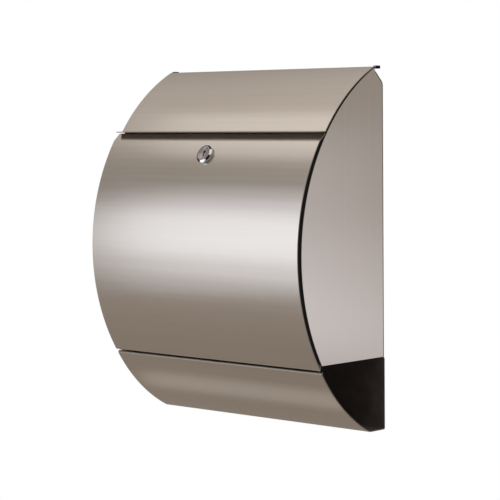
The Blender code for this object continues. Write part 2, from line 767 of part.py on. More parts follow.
def build():
    clear_scene()
    part = new_collection("wall_mailbox")
    helpers = new_collection("cutters")
    steel = new_material("brushed_stainless", (0.62, 0.59, 0.55), 0.32, 1.0)
    rod_steel = new_material("drawn_steel", (0.60, 0.60, 0.60), 0.25, 1.0)
    zinc = new_material("zinc_plated_steel", (0.66, 0.67, 0.68), 0.30, 1.0)
    chrome = new_material("chrome_plate", (0.80, 0.80, 0.80), 0.08, 1.0)
    rubber = new_material("black_rubber", (0.012, 0.012, 0.013), 0.65, 0.0)

    mailbox = pivot("mailbox", part)
    flap_pivot = pivot("flap_pivot", part, mailbox, FLAP_HINGE)
    door_pivot = pivot("door_pivot", part, mailbox, DOOR_HINGE)
    carry(mailbox, *build_body(part, helpers, steel, rod_steel, rubber))
    flap_pieces = [make_flap(steel, part), make_edging(rubber, part, helpers)]
    for place, x in FLAP_LEAF_PLACES.items():
        flap_pieces.append(make_flap_leaf(place, x, steel, part))
    carry(flap_pivot, *flap_pieces)
    carry(door_pivot, make_door(steel, part, helpers))

    lock_seat = pivot("lock_seat", part, door_pivot, LOCK_PLACE)
    lock_pivot = pivot("lock_pivot", part, door_pivot, LOCK_PLACE)
    for empty in (lock_seat, lock_pivot):
        empty.rotation_euler.x = LOCK_TILT
    build_lock(lock_seat, lock_pivot, part, helpers, chrome, zinc)

    for cutter in helpers.objects:
        if cutter.parent is None:
            cutter.parent = mailbox
    mailbox.location.z = -WALL_POINT_HEIGHT
    bpy.context.view_layer.update()


build()
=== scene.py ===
"""The looks of a wall-mounted stainless-steel mailbox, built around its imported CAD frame.

Metres, +Z up, in the frame's own place: the wall plane is Y = 0 and the front faces -Y.  Heights in this
file are measured from the underside of the newspaper tray, as in the CAD model, and settle() lowers each
piece into the frame.  Each sheet-metal piece is a side-view path of (y, z) points swept along X.
"""

import json
import math

import bmesh
import bpy
from mathutils import Matrix, Vector

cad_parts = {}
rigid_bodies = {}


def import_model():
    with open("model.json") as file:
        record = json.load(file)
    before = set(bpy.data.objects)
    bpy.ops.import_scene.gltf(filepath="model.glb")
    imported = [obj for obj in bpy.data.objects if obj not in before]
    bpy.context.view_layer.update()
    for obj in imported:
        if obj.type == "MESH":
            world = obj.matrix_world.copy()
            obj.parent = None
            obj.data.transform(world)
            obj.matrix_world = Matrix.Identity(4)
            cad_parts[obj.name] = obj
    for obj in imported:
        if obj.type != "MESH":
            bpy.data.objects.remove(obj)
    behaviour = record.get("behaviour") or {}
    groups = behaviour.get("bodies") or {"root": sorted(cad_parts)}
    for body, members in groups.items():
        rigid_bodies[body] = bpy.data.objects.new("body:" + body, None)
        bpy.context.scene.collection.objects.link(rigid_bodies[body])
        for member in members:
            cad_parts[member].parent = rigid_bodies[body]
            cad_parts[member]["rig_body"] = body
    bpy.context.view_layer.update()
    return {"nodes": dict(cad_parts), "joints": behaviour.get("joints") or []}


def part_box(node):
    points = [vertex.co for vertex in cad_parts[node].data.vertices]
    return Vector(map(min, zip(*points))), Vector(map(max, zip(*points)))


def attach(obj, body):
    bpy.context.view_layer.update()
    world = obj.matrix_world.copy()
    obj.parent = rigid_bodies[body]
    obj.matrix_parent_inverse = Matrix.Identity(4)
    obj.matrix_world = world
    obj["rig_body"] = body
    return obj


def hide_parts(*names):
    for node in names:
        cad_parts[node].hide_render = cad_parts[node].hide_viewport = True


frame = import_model()

# Sizes that the frame gives
JOINTS = {joint["name"]: joint for joint in frame["joints"]}
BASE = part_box("newspaper_tray")[0].z
HALF_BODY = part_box("back_panel")[1].x
HALF_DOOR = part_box("door")[1].x
HALF_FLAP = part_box("flap")[1].x
HALF_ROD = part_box("door_hinge_rod")[1].x
SHEET = 0.001
GAP = 0.0003
INNER_HALF = HALF_BODY - SHEET


def side_point(joint):
    """A joint's place as a side-view point, with its height from the tray's underside."""
    x, y, z = JOINTS[joint]["pos_m"]
    return Vector((y, z - BASE))


DOOR_HINGE = side_point("door_hinge")
FLAP_HINGE = side_point("flap_hinge")
LOCK_PLACE = side_point("lock_turn")
LOCK_AXIS = Vector(JOINTS["lock_turn"]["axis"])
LOCK_TILT = math.atan2(LOCK_AXIS.z, LOCK_AXIS.y) - math.pi / 2

# Side panels and back panel
SIDE_CENTRE = Vector((0.0876, 0.1889))
SIDE_RADIUS = 0.2189
SIDE_BOTTOM = 0.0772
SIDE_FLANGE_WIDTH = 0.012
SIDE_FLANGE_HEIGHTS = (0.096, 0.355)
BACK_BOTTOM = 0.0013
ROOF_BEND_HEIGHT = 0.3637
ROOF_BEND_RADIUS = 0.008
ROOF_SLOPE = math.radians(45)
ROOF_LENGTH = 0.0125
WALL_HOLE_RADIUS = 0.004
WASHER_RADIUS = 0.0085
WASHER_THICKNESS = 0.002

# Compartment floor and rail
FLOOR_FRONT = -0.086
FLOOR_REAR_LIP = 0.014
FLOOR_FRONT_LIP = 0.005
RAIL_DEPTH = 0.0185
RAIL_RISE = (0.012, 0.032)
RAIL_FRONT = -0.0875

# Door
DOOR_CENTRE = Vector((0.0760, 0.1893))
DOOR_RADIUS = 0.216
DOOR_TOP = 0.307
DOOR_CHAMFER_END = Vector((-0.0958, 0.3148))
DOOR_ROD_RADIUS = 0.002
DOOR_KNUCKLE_RADIUS = DOOR_ROD_RADIUS + GAP + SHEET
DOOR_KNUCKLE_WRAP = math.radians(265)
HINGE_ARM_WIDTH = 0.014
KNUCKLE_NOTCH_WIDTH = HINGE_ARM_WIDTH + 0.002
KNUCKLE_NOTCH_START = math.radians(240)

# Newspaper tray
TRAY_START = 0.0042
TRAY_HEM = Vector((0.007, 0.003))
TRAY_HEM_INSET = 0.008
TRAY_HEM_ROWS = 10
# Height of the tray's top bend whose outer face takes painted shade
TRAY_TOP_BEND_HEIGHT = 1.7 * SHEET
TRAY_RADIUS = 0.194
TRAY_FLAT_FRONT = -0.027
TRAY_BEND_RADIUS = 0.012
TRAY_REAR_LIP = 0.0765

# Seals
SEAL_HEIGHTS = (0.0797, 0.3050)
SEAL_WIDTH = 0.003
SEAL_DOOR_GAP = 0.0006
SEAL_LEG_RADIUS = 0.2150
SEAL_LEG_WIDTH = 0.0018
SEAL_OVERLAP = 0.0008
SEAL_TIP_OFFSET = Vector((0.0009, -0.0012))

# Flap
FLAP_REAR = Vector((-0.0075, 0.3833))
FLAP_RIDGE = Vector((-0.0155, 0.3833))
FLAP_ROOT = Vector((-0.0935, 0.3167))
FLAP_LIP = Vector((-0.1030, 0.3167))
FLAP_RADIUS = 0.205
FLAP_ROD_RADIUS = 0.0015
FLAP_KNUCKLE_RADIUS = FLAP_ROD_RADIUS + GAP + SHEET
FLAP_LEAF_ANGLE = math.radians(118)
FLAP_LEAF_REACH = 0.014
EDGING_WALL = 0.0008
EDGING_TOP_REACH = 0.0058
EDGING_FOOT_REACH = 0.0035
EDGING_END_LENGTH = 0.004
FLAP_BRACKET_FOOT = (Vector((-0.0215, 0.3640)), Vector((-0.0085, 0.3640)))
BUMPER_SIZE = Vector((0.007, 0.005, 0.009))

# Cam lock, along its axis from the door's outer face, outward positive
LOCK_HOLE_RADIUS = 0.0084
LOCK_BARREL_RADIUS = 0.008
LOCK_BEZEL_RADIUS = 0.0103
LOCK_BEZEL_FACE = 0.0042
LOCK_BEZEL_CHAMFER = 0.0020
LOCK_CHAMFER_DEPTH = 0.0012
LOCK_BARREL_END = -0.0175
LOCK_PLUG_RADIUS = 0.0059
LOCK_PLUG_FACE = 0.0037
LOCK_PLUG_END = -0.0185
PLUG_STUB_RADIUS = 0.0040
PLUG_STUB_END = -0.0227
NUT_RADIUS = 0.0125
NUT_SPAN = (-0.0057, -0.0017)
CAM_MIDDLE = -0.0215
CAM_THICKNESS = 0.002
CAM_HUB_RADIUS = 0.008
CAM_TIP_RADIUS = 0.005
CAM_REACH = 0.025
CAM_WASHER_SPAN = (-0.0238, -0.0230)
CAM_WASHER_RADIUS = 0.0065
CAM_SCREW_HEAD = (-0.0274, -0.0241)
CAM_SCREW_HEAD_RADIUS = 0.0046

# How fine the meshes are
EDGE_ROUND = 0.00028
ARC_STEPS = 72
ROUND_STEPS = 96
BEND_RADIUS = 0.0015
SHARP_TURN = math.radians(12)


# Side-view geometry: 2D vectors of (y, z), angles in radians from +Y towards +Z


def polar(centre, radius, angle):
    return centre + radius * Vector((math.cos(angle), math.sin(angle)))


def arc(centre, radius, start, end, steps=ARC_STEPS):
    return [polar(centre, radius, start + (end - start) * step / steps) for step in range(steps + 1)]


def circle(radius, centre=(0, 0), steps=ROUND_STEPS):
    return arc(Vector(centre), radius, 0, 2 * math.pi, steps)[:-1]


def front_angle(centre, radius, height):
    """Where the front half of a circle reaches a height."""
    return math.pi - math.asin((height - centre.y) / radius)


def bulge(start, end, radius, steps=ARC_STEPS):
    """An arc from start to end that bulges to the right of that direction."""
    chord = end - start
    inward = Vector((-chord.y, chord.x)).normalized()
    centre = (start + end) / 2 + inward * math.sqrt(radius**2 - (chord.length / 2) ** 2)
    first = (start - centre).angle_signed(Vector((1, 0)))
    turn = 2 * math.asin(chord.length / 2 / radius)
    return arc(centre, radius, first, first + turn, steps)


def bend(path, radius=BEND_RADIUS, steps=8):
    """Rounds the sharp corners of a path, as a folded sheet's are."""
    rounded = [path[0]]
    for before, corner, after in zip(path, path[1:], path[2:]):
        back = (before - corner).normalized()
        onward = (after - corner).normalized()
        turn = math.pi - back.angle(onward)
        if turn < SHARP_TURN:
            rounded.append(corner)
            continue
        centre = corner + (back + onward).normalized() * radius / math.cos(turn / 2)
        reach = radius * math.tan(turn / 2)
        first = (corner + back * reach - centre).normalized()
        last = (corner + onward * reach - centre).normalized()
        rounded += [centre + first.slerp(last, step / steps) * radius for step in range(steps + 1)]
    return rounded + [path[-1]]


def from_lock(rise, depth):
    """A side-view point up along the door from the lock, and inside the door's outer face."""
    outward = Vector((LOCK_AXIS.y, LOCK_AXIS.z))
    upward = Vector((outward.y, -outward.x))
    return LOCK_PLACE + upward * rise - outward * depth


# Makers of meshes


def new_piece(name, shape, *materials):
    mesh = bpy.data.meshes.new(name)
    shape.to_mesh(mesh)
    shape.free()
    mesh.shade_smooth()
    piece = bpy.data.objects.new(name, mesh)
    bpy.context.scene.collection.objects.link(piece)
    for material in materials:
        piece.data.materials.append(material)
    return piece


def apply_modifiers(piece):
    bpy.context.view_layer.update()
    graph = bpy.context.evaluated_depsgraph_get()
    mesh = bpy.data.meshes.new_from_object(piece.evaluated_get(graph))
    piece.modifiers.clear()
    piece.data = mesh
    return piece


def combine(piece, other, operation="DIFFERENCE"):
    boolean = piece.modifiers.new("combine", "BOOLEAN")
    boolean.operation = operation
    boolean.solver = "EXACT"
    boolean.object = other
    apply_modifiers(piece)
    bpy.data.objects.remove(other)
    return piece


def sheet(name, path, half_width, materials, middle=0.0, stations=(), is_cut=None):
    """Sheet metal along a path: its first material on the side that is up when the path runs forward.

    Cells between stations along X are cut away where is_cut(row, x) says so.
    """
    shape = bmesh.new()
    columns = sorted({middle - half_width, middle + half_width, *stations})
    rows = [[shape.verts.new((x, *point)) for x in columns] for point in path]
    for row, (near, far) in enumerate(zip(rows, rows[1:])):
        for column in range(len(columns) - 1):
            x = (columns[column] + columns[column + 1]) / 2
            if is_cut and is_cut(row, x):
                continue
            shape.faces.new((near[column], far[column], far[column + 1], near[column + 1]))
    loose = [vert for vert in shape.verts if not vert.link_faces]
    bmesh.ops.delete(shape, geom=loose, context="VERTS")
    piece = new_piece(name, shape, *materials)
    solidify = piece.modifiers.new("sheet", "SOLIDIFY")
    solidify.thickness = SHEET
    solidify.offset = 0
    solidify.use_even_offset = True
    solidify.material_offset = 1
    solidify.material_offset_rim = EDGE_SLOT
    return apply_modifiers(piece)


def plate(name, outline, thickness, *materials):
    """A flat plate in its own XY plane."""
    shape = bmesh.new()
    face = shape.faces.new([shape.verts.new((x, y, -thickness / 2)) for x, y in outline])
    swept = bmesh.ops.extrude_face_region(shape, geom=[face])["geom"]
    top = [item for item in swept if isinstance(item, bmesh.types.BMVert)]
    bmesh.ops.translate(shape, verts=top, vec=(0, 0, thickness))
    bmesh.ops.recalc_face_normals(shape, faces=shape.faces)
    return new_piece(name, shape, *materials)


def side_plate(name, outline, x_span, *materials):
    """A plate that stands in the YZ plane between two X values."""
    low, high = sorted(x_span)
    piece = plate(name, outline, high - low, *materials)
    turn = Matrix.Rotation(math.pi / 2, 4, "Z") @ Matrix.Rotation(math.pi / 2, 4, "X")
    piece.data.transform(Matrix.Translation(((low + high) / 2, 0, 0)) @ turn)
    return piece


def block(name, size, *materials):
    shape = bmesh.new()
    bmesh.ops.create_cube(shape, size=1)
    bmesh.ops.scale(shape, verts=shape.verts, vec=size)
    return new_piece(name, shape, *materials)


def drill(radius, length, place, axis="Y"):
    """A cylinder to cut with."""
    shape = bmesh.new()
    bmesh.ops.create_cone(
        shape, cap_ends=True, segments=ROUND_STEPS, radius1=radius, radius2=radius, depth=length
    )
    if axis != "Z":
        turn = Matrix.Rotation(math.pi / 2, 4, "X" if axis == "Y" else "Y")
        bmesh.ops.transform(shape, matrix=turn, verts=shape.verts)
    bmesh.ops.translate(shape, verts=shape.verts, vec=place)
    return new_piece("drill", shape)


def turned(name, profile, materials, ring=False, steps=ROUND_STEPS):
    """A lathe-turned piece about its own Z. The profile is (radius, z), down its outer side."""
    mesh = bpy.data.meshes.new(name)
    edges = [(index, index + 1) for index in range(len(profile) - 1)]
    if ring:
        edges.append((len(profile) - 1, 0))
    mesh.from_pydata([(radius, 0, z) for radius, z in profile], edges, [])
    piece = bpy.data.objects.new(name, mesh)
    bpy.context.scene.collection.objects.link(piece)
    screw = piece.modifiers.new("turning", "SCREW")
    screw.axis = "Z"
    screw.angle = 2 * math.pi
    screw.steps = steps
    screw.render_steps = steps
    screw.use_merge_vertices = True
    screw.merge_threshold = 1e-6
    screw.use_smooth_shade = True
    apply_modifiers(piece)
    for material in materials:
        piece.data.materials.append(material)
    return piece


def settle(piece, node, slot, edge=EDGE_ROUND, edge_material=-1, segments=3):
    """Rounds a piece's edges, lowers it into the frame and gives it its CAD node's body and place."""
    if edge:
        bevel = piece.modifiers.new("edges", "BEVEL")
        bevel.width = edge
        bevel.segments = segments
        bevel.limit_method = "ANGLE"
        bevel.angle_limit = math.radians(35)
        bevel.material = edge_material
    normals = piece.modifiers.new("normals", "WEIGHTED_NORMAL")
    normals.weight = 60
    piece.data.transform(Matrix.Translation((0, 0, BASE)))
    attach(piece, frame["nodes"][node]["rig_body"])
    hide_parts(node)
    return piece


# Materials


def shader_of(name, colour, roughness, metallic):
    material = bpy.data.materials.new(name)
    material.use_nodes = True
    shader = material.node_tree.nodes["Principled BSDF"]
    shader.inputs["Base Color"].default_value = (*colour, 1.0)
    shader.inputs["Roughness"].default_value = roughness
    shader.inputs["Metallic"].default_value = metallic
    return material, shader


def add_noise(material, scale, detail=3.0, roughness=0.55):
    """Noise in the piece's own place. The scale is in features per metre along X, Y and Z."""
    nodes, links = material.node_tree.nodes, material.node_tree.links
    place = nodes.new("ShaderNodeTexCoord")
    mapping = nodes.new("ShaderNodeMapping")
    mapping.inputs["Scale"].default_value = scale
    noise = nodes.new("ShaderNodeTexNoise")
    noise.inputs["Scale"].default_value = 1.0
    noise.inputs["Detail"].default_value = detail
    noise.inputs["Roughness"].default_value = roughness
    links.new(place.outputs["Object"], mapping.inputs["Vector"])
    links.new(mapping.outputs["Vector"], noise.inputs["Vector"])
    return noise.outputs["Fac"]


def add_range(material, value, low, high, from_low=0.3, from_high=0.7):
    nodes, links = material.node_tree.nodes, material.node_tree.links
    spread = nodes.new("ShaderNodeMapRange")
    spread.inputs["From Min"].default_value = from_low
    spread.inputs["From Max"].default_value = from_high
    spread.inputs["To Min"].default_value = low
    spread.inputs["To Max"].default_value = high
    links.new(value, spread.inputs["Value"])
    return spread.outputs["Result"]


def add_sum(material, first, second, operation="ADD"):
    nodes, links = material.node_tree.nodes, material.node_tree.links
    total = nodes.new("ShaderNodeMath")
    total.operation = operation
    links.new(first, total.inputs[0])
    links.new(second, total.inputs[1])
    return total.outputs["Value"]


def add_tint(material, shader, factor, dark, light):
    """Drives the base colour from dark to light."""
    nodes, links = material.node_tree.nodes, material.node_tree.links
    mix = nodes.new("ShaderNodeMix")
    mix.data_type = "RGBA"
    mix.inputs["A"].default_value = (*dark, 1.0)
    mix.inputs["B"].default_value = (*light, 1.0)
    links.new(factor, mix.inputs["Factor"])
    links.new(mix.outputs["Result"], shader.inputs["Base Color"])


def add_bump(material, shader, height, strength, distance):
    nodes, links = material.node_tree.nodes, material.node_tree.links
    bump = nodes.new("ShaderNodeBump")
    bump.inputs["Strength"].default_value = strength
    bump.inputs["Distance"].default_value = distance
    links.new(height, bump.inputs["Height"])
    links.new(bump.outputs["Normal"], shader.inputs["Normal"])


def scaled(colour, factor):
    return tuple(channel * factor for channel in colour)


def brushed_steel(name, colour, roughness, grain="X", depth=0.10, anisotropic=0.5):
    """Stainless steel brushed along one axis: fine scratches, longer streaks and faint handling marks."""
    material, shader = shader_of(name, colour, roughness, 1.0)
    shader.inputs["Anisotropic"].default_value = anisotropic
    shader.inputs["Anisotropic Rotation"].default_value = 0.25
    nodes, links = material.node_tree.nodes, material.node_tree.links
    along = nodes.new("ShaderNodeCombineXYZ")
    along.inputs[grain].default_value = 1.0
    links.new(along.outputs["Vector"], shader.inputs["Tangent"])

    def grain_scale(lengthwise, across):
        return tuple(lengthwise if axis == grain else across for axis in "XYZ")

    scratches = add_noise(material, grain_scale(14, 1500), detail=2.0)
    streaks = add_noise(material, grain_scale(2.5, 210), detail=4.0, roughness=0.7)
    marks = add_noise(material, (7, 7, 7), detail=5.0, roughness=0.6)
    tone = add_sum(
        material,
        add_range(material, streaks, 0.0, 0.75),
        add_range(material, marks, 0.0, 0.25),
    )
    add_tint(material, shader, tone, scaled(colour, 0.96), scaled(colour, 1.03))
    polish = add_sum(
        material,
        add_range(material, streaks, roughness - 0.012, roughness + 0.012),
        add_range(material, marks, -0.008, 0.008),
    )
    links.new(polish, shader.inputs["Roughness"])
    add_bump(material, shader, scratches, depth, 0.00004)
    return material


def plain_steel(name, colour, roughness):
    """Unbrushed metal with a mottled surface: the sheets' inner sides, rods and plated fittings."""
    material, shader = shader_of(name, colour, roughness, 1.0)
    mottle = add_noise(material, (60, 60, 60), detail=6.0, roughness=0.65)
    marks = add_noise(material, (9, 9, 9), detail=4.0)
    tone = add_range(material, mottle, 0.0, 1.0)
    add_tint(material, shader, tone, scaled(colour, 0.88), scaled(colour, 1.06))
    polish = add_sum(
        material,
        add_range(material, mottle, roughness - 0.05, roughness + 0.05),
        add_range(material, marks, -0.04, 0.04),
    )
    material.node_tree.links.new(polish, shader.inputs["Roughness"])
    fine = add_noise(material, (900, 900, 900), detail=2.0)
    add_bump(material, shader, fine, 0.12, 0.00003)
    return material


def chrome(name, colour, roughness):
    material, shader = shader_of(name, colour, roughness, 1.0)
    wear = add_noise(material, (420, 420, 420), detail=5.0, roughness=0.7)
    polish = add_range(material, wear, roughness, roughness + 0.10, 0.45, 0.75)
    material.node_tree.links.new(polish, shader.inputs["Roughness"])
    add_tint(material, shader, add_range(material, wear, 0.0, 1.0), colour, scaled(colour, 0.90))
    add_bump(material, shader, wear, 0.05, 0.00004)
    return material


def painted_reflection_chrome(name):
    """Chrome with painted reflections: dark and light patches round the lock's chamfer, by the angle from +X
    towards up.
    """
    material, shader = shader_of(name, (0.8, 0.8, 0.8), 0.10, 1.0)
    nodes, links = material.node_tree.nodes, material.node_tree.links
    up = Vector((0, LOCK_AXIS.z, -LOCK_AXIS.y))
    place = nodes.new("ShaderNodeTexCoord")
    centre = nodes.new("ShaderNodeVectorMath")
    centre.operation = "SUBTRACT"
    centre.inputs[1].default_value = JOINTS["lock_turn"]["pos_m"]
    rise = nodes.new("ShaderNodeVectorMath")
    rise.operation = "DOT_PRODUCT"
    rise.inputs[1].default_value = up
    split = nodes.new("ShaderNodeSeparateXYZ")
    turn = nodes.new("ShaderNodeMath")
    turn.operation = "ARCTAN2"
    ramp = nodes.new("ShaderNodeValToRGB")
    ramp.color_ramp.interpolation = "EASE"
    while len(ramp.color_ramp.elements) < len(BEZEL_PAINTED_REFLECTIONS):
        ramp.color_ramp.elements.new(0.5)
    for element, (angle, tone) in zip(ramp.color_ramp.elements, BEZEL_PAINTED_REFLECTIONS):
        element.position = (angle + 180) / 360
        element.color = (tone, tone, tone, 1.0)
    links.new(place.outputs["Object"], centre.inputs[0])
    links.new(centre.outputs["Vector"], rise.inputs[0])
    links.new(centre.outputs["Vector"], split.inputs["Vector"])
    links.new(rise.outputs["Value"], turn.inputs[0])
    links.new(split.outputs["X"], turn.inputs[1])
    links.new(add_range(material, turn.outputs["Value"], 0.0, 1.0, -math.pi, math.pi), ramp.inputs["Fac"])
    links.new(ramp.outputs["Color"], shader.inputs["Base Color"])
    wear = add_noise(material, (420, 420, 420), detail=5.0, roughness=0.7)
    links.new(add_range(material, wear, 0.08, 0.20, 0.45, 0.75), shader.inputs["Roughness"])
    return material


def rubber_skin(name, colour, roughness):
    material, shader = shader_of(name, colour, roughness, 0.0)
    shader.inputs["Specular IOR Level"].default_value = 0.2
    grain = add_noise(material, (1400, 1400, 1400), detail=3.0)
    dust = add_noise(material, (70, 70, 70), detail=6.0, roughness=0.7)
    add_tint(material, shader, add_range(material, dust, 0.0, 1.0, 0.45, 0.8), colour, scaled(colour, 2.2))
    links = material.node_tree.links
    links.new(add_range(material, dust, roughness - 0.08, roughness + 0.10), shader.inputs["Roughness"])
    add_bump(material, shader, grain, 0.25, 0.00006)
    return material


STEEL_COLOUR = (0.64, 0.587, 0.54)
BRUSHED_X = brushed_steel("brushed_stainless", STEEL_COLOUR, 0.19)
BRUSHED_Z = brushed_steel("brushed_stainless_upright", STEEL_COLOUR, 0.22, grain="Z")
# Darker than the faces: painted shade on the sheets' cut edges, rounded edges and bends.
PAINTED_SHADE_EDGE = plain_steel("edge_painted_shade", (0.27, 0.245, 0.22), 0.38)
INNER = plain_steel("mill_finish", (0.50, 0.47, 0.43), 0.40)
# Darkened underside of the flap: painted shade under the flap and over the door's top.
PAINTED_SHADE_UNDERSIDE = plain_steel("flap_underside_painted_shade", (0.19, 0.16, 0.13), 0.45)
# Nearly black: painted shade inside the newspaper compartment, on the back panel's front face below the floor
# and on the floor's underside.
PAINTED_SHADE = plain_steel("painted_shade_inner_face", (0.045, 0.038, 0.038), 0.60)
# Darkened inner face of the newspaper tray: painted shade inside the compartment.
PAINTED_SHADE_TRAY_INSIDE = plain_steel("tray_inside_painted_shade", (0.38, 0.33, 0.325), 0.55)
# Drawn steel for the hinge rods, darkened as painted shade where their ends show by the hinges.
ROD_STEEL_PAINTED_SHADE = plain_steel("drawn_steel", (0.32, 0.31, 0.30), 0.30)
ZINC = plain_steel("zinc_plate", (0.66, 0.67, 0.68), 0.30)
CHROME = chrome("chrome_plate", (0.80, 0.80, 0.80), 0.07)
FACE_CHROME = chrome("chrome_face", (0.46, 0.43, 0.44), 0.22)

# Painted reflections: brightness of the bezel's chamfer by the angle in degrees round the lock
BEZEL_PAINTED_REFLECTIONS = [
    (-180, 0.40),
    (-145, 0.30),
    (-132, 0.02),
    (-108, 0.02),
    (-98, 0.95),
    (-56, 0.95),
    (-44, 0.01),
    (-14, 0.01),
    (-6, 1.00),
    (26, 1.00),
    (38, 0.03),
    (66, 0.03),
    (80, 0.22),
    (120, 0.25),
    (180, 0.40),
]
BEZEL_PAINTED_REFLECTION_CHROME = painted_reflection_chrome("chrome_bezel_painted_reflections")
RUBBER = rubber_skin("black_rubber", (0.006, 0.006, 0.0065), 0.75)

OUTSIDE = (BRUSHED_X, INNER, PAINTED_SHADE_EDGE)
OUTER_SLOT, INNER_SLOT, EDGE_SLOT, PAINTED_SHADE_SLOT = range(4)


# Body


def roof_path(offset, length):
    """The back panel's bend and the sloping roof, at a depth under their outer face."""
    centre = Vector((-ROOF_BEND_RADIUS, ROOF_BEND_HEIGHT))
    turn = arc(centre, ROOF_BEND_RADIUS - offset, 0, ROOF_SLOPE, 12)
    slope = Vector((-math.sin(ROOF_SLOPE), math.cos(ROOF_SLOPE)))
    return turn + [turn[-1] + slope * length]


def washer_places():
    """The four wall-screw holes, each with the name of its washer."""
    for side in ("left", "right"):
        for level in ("lower", "upper"):
            node = f"wall_washer_{level}_{side}"
            low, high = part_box(node)
            yield node, (low + high) / 2


def make_back_panel():
    middle = SHEET / 2
    path = [Vector((-middle, BACK_BOTTOM)), Vector((-middle, SIDE_BOTTOM))] + roof_path(middle, ROOF_LENGTH)
    panel = sheet("fine_back_panel", path, HALF_BODY, (BRUSHED_Z, INNER, PAINTED_SHADE_EDGE, PAINTED_SHADE))
    # Below the floor, the back panel's front face takes the nearly black painted shade of the newspaper
    # compartment.
    for face in panel.data.polygons:
        if face.center.z < SIDE_BOTTOM and face.material_index == INNER_SLOT:
            face.material_index = PAINTED_SHADE_SLOT
    for node, place in washer_places():
        combine(panel, drill(WALL_HOLE_RADIUS, 10 * SHEET, (place.x, -middle, place.z - BASE)))
    settle(panel, "back_panel", "brushed_stainless", edge_material=EDGE_SLOT)


def make_washers():
    profile = [
        (WALL_HOLE_RADIUS, WASHER_THICKNESS),
        (WASHER_RADIUS, WASHER_THICKNESS),
        (WASHER_RADIUS, 0),
        (WALL_HOLE_RADIUS, 0),
    ]
    for node, place in washer_places():
        washer = turned(f"fine_{node}", profile, [RUBBER], ring=True)
        seat = Vector((place.x, -SHEET - GAP, place.z - BASE))
        washer.data.transform(Matrix.Translation(seat) @ Matrix.Rotation(math.pi / 2, 4, "X"))
        settle(washer, node, "black_rubber", edge=0.0005)


def side_outline():
    """The side panel: front arc, peak flush with the roof, edge under the roof, rear edge and bottom."""
    inset = SHEET + GAP
    roof = roof_path(inset, ROOF_LENGTH + GAP)
    peak = roof_path(0, ROOF_LENGTH + GAP)[-1]
    slope = Vector((-math.sin(ROOF_SLOPE), math.cos(ROOF_SLOPE)))
    start = peak - SIDE_CENTRE
    along = start.dot(slope)
    length = -along + math.sqrt(along**2 - start.length_squared + SIDE_RADIUS**2)
    apex = peak + slope * length
    top = math.atan2(apex.y - SIDE_CENTRE.y, apex.x - SIDE_CENTRE.x)
    front = arc(SIDE_CENTRE, SIDE_RADIUS, front_angle(SIDE_CENTRE, SIDE_RADIUS, SIDE_BOTTOM), top, 96)
    return [Vector((-inset, SIDE_BOTTOM))] + roof + [peak] + front[::-1]


def make_side_panel(name, side):
    """A flat side with a flange turned inward along the back panel."""
    span = (side * INNER_HALF, side * HALF_BODY)
    panel = side_plate(f"fine_{name}", side_outline(), span, BRUSHED_Z, PAINTED_SHADE_EDGE)
    low, high = SIDE_FLANGE_HEIGHTS
    flange = block("flange", Vector((SIDE_FLANGE_WIDTH, SHEET, high - low)), BRUSHED_Z)
    middle = side * (HALF_BODY - SIDE_FLANGE_WIDTH / 2 - SHEET / 4)
    flange.location = (middle, -GAP - 1.5 * SHEET, (low + high) / 2)
    combine(panel, flange, "UNION")
    settle(panel, name, "brushed_stainless", edge_material=1)


def make_floor():
    rear = -GAP - 1.5 * SHEET
    level = SIDE_BOTTOM + SHEET / 2
    path = [
        Vector((rear, level + FLOOR_REAR_LIP)),
        Vector((rear, level)),
        Vector((FLOOR_FRONT, level)),
        Vector((FLOOR_FRONT, level + FLOOR_FRONT_LIP)),
    ]
    # The floor's underside, over the newspaper compartment, takes the nearly black painted shade.
    floor = sheet("fine_compartment_floor", bend(path), INNER_HALF - GAP, (INNER, PAINTED_SHADE, PAINTED_SHADE_EDGE))
    settle(floor, "compartment_floor", "brushed_stainless", edge_material=EDGE_SLOT)


def make_tray():
    """One sheet, hemmed inward and up behind the door, curving down and back, then up the back panel."""
    middle = SHEET / 2
    hinge_angle = math.atan2(*(DOOR_HINGE - DOOR_CENTRE).yx) % (2 * math.pi)
    top = polar(DOOR_CENTRE, DOOR_RADIUS - middle, hinge_angle + TRAY_START / DOOR_RADIUS)
    rear = -GAP - 1.5 * SHEET
    curve = bulge(top, Vector((TRAY_FLAT_FRONT, middle)), TRAY_RADIUS - middle, 48)
    del curve[-4:-1]
    bottom = bend(curve + [Vector((rear, middle))], TRAY_BEND_RADIUS, 16)
    corner = bend([bottom[-2], Vector((rear, middle)), Vector((rear, TRAY_REAR_LIP))])
    hem = bend([top + TRAY_HEM, top + Vector((TRAY_HEM.x, 0)), top, bottom[2]])
    path = hem[:-1] + bottom[2:-1] + corner[1:]
    hem_end = HALF_DOOR - TRAY_HEM_INSET

    def is_cut(row, x):
        return row < TRAY_HEM_ROWS and x > hem_end

    # The tray's inner face takes the darkened painted shade of the newspaper compartment.
    materials = (BRUSHED_X, PAINTED_SHADE_TRAY_INSIDE, PAINTED_SHADE_EDGE)
    tray = sheet("fine_newspaper_tray", path, HALF_DOOR, materials, stations=[hem_end], is_cut=is_cut)
    # The outer face of the tray's top bend takes the dark edge material: painted shade over the bend's
    # highlight line.
    for face in tray.data.polygons:
        if face.center.z > top.y - TRAY_TOP_BEND_HEIGHT and face.material_index == OUTER_SLOT:
            face.material_index = EDGE_SLOT
    settle(tray, "newspaper_tray", "brushed_stainless", edge_material=EDGE_SLOT)


def make_lock_rail():
    low, high = RAIL_RISE
    top = from_lock(high, RAIL_DEPTH)
    path = [from_lock(low, RAIL_DEPTH), top, Vector((RAIL_FRONT, top.y))]
    rail = sheet("fine_lock_rail", bend(path), INNER_HALF - GAP, (INNER, INNER, PAINTED_SHADE_EDGE))
    settle(rail, "lock_rail", "brushed_stainless", edge_material=EDGE_SLOT)


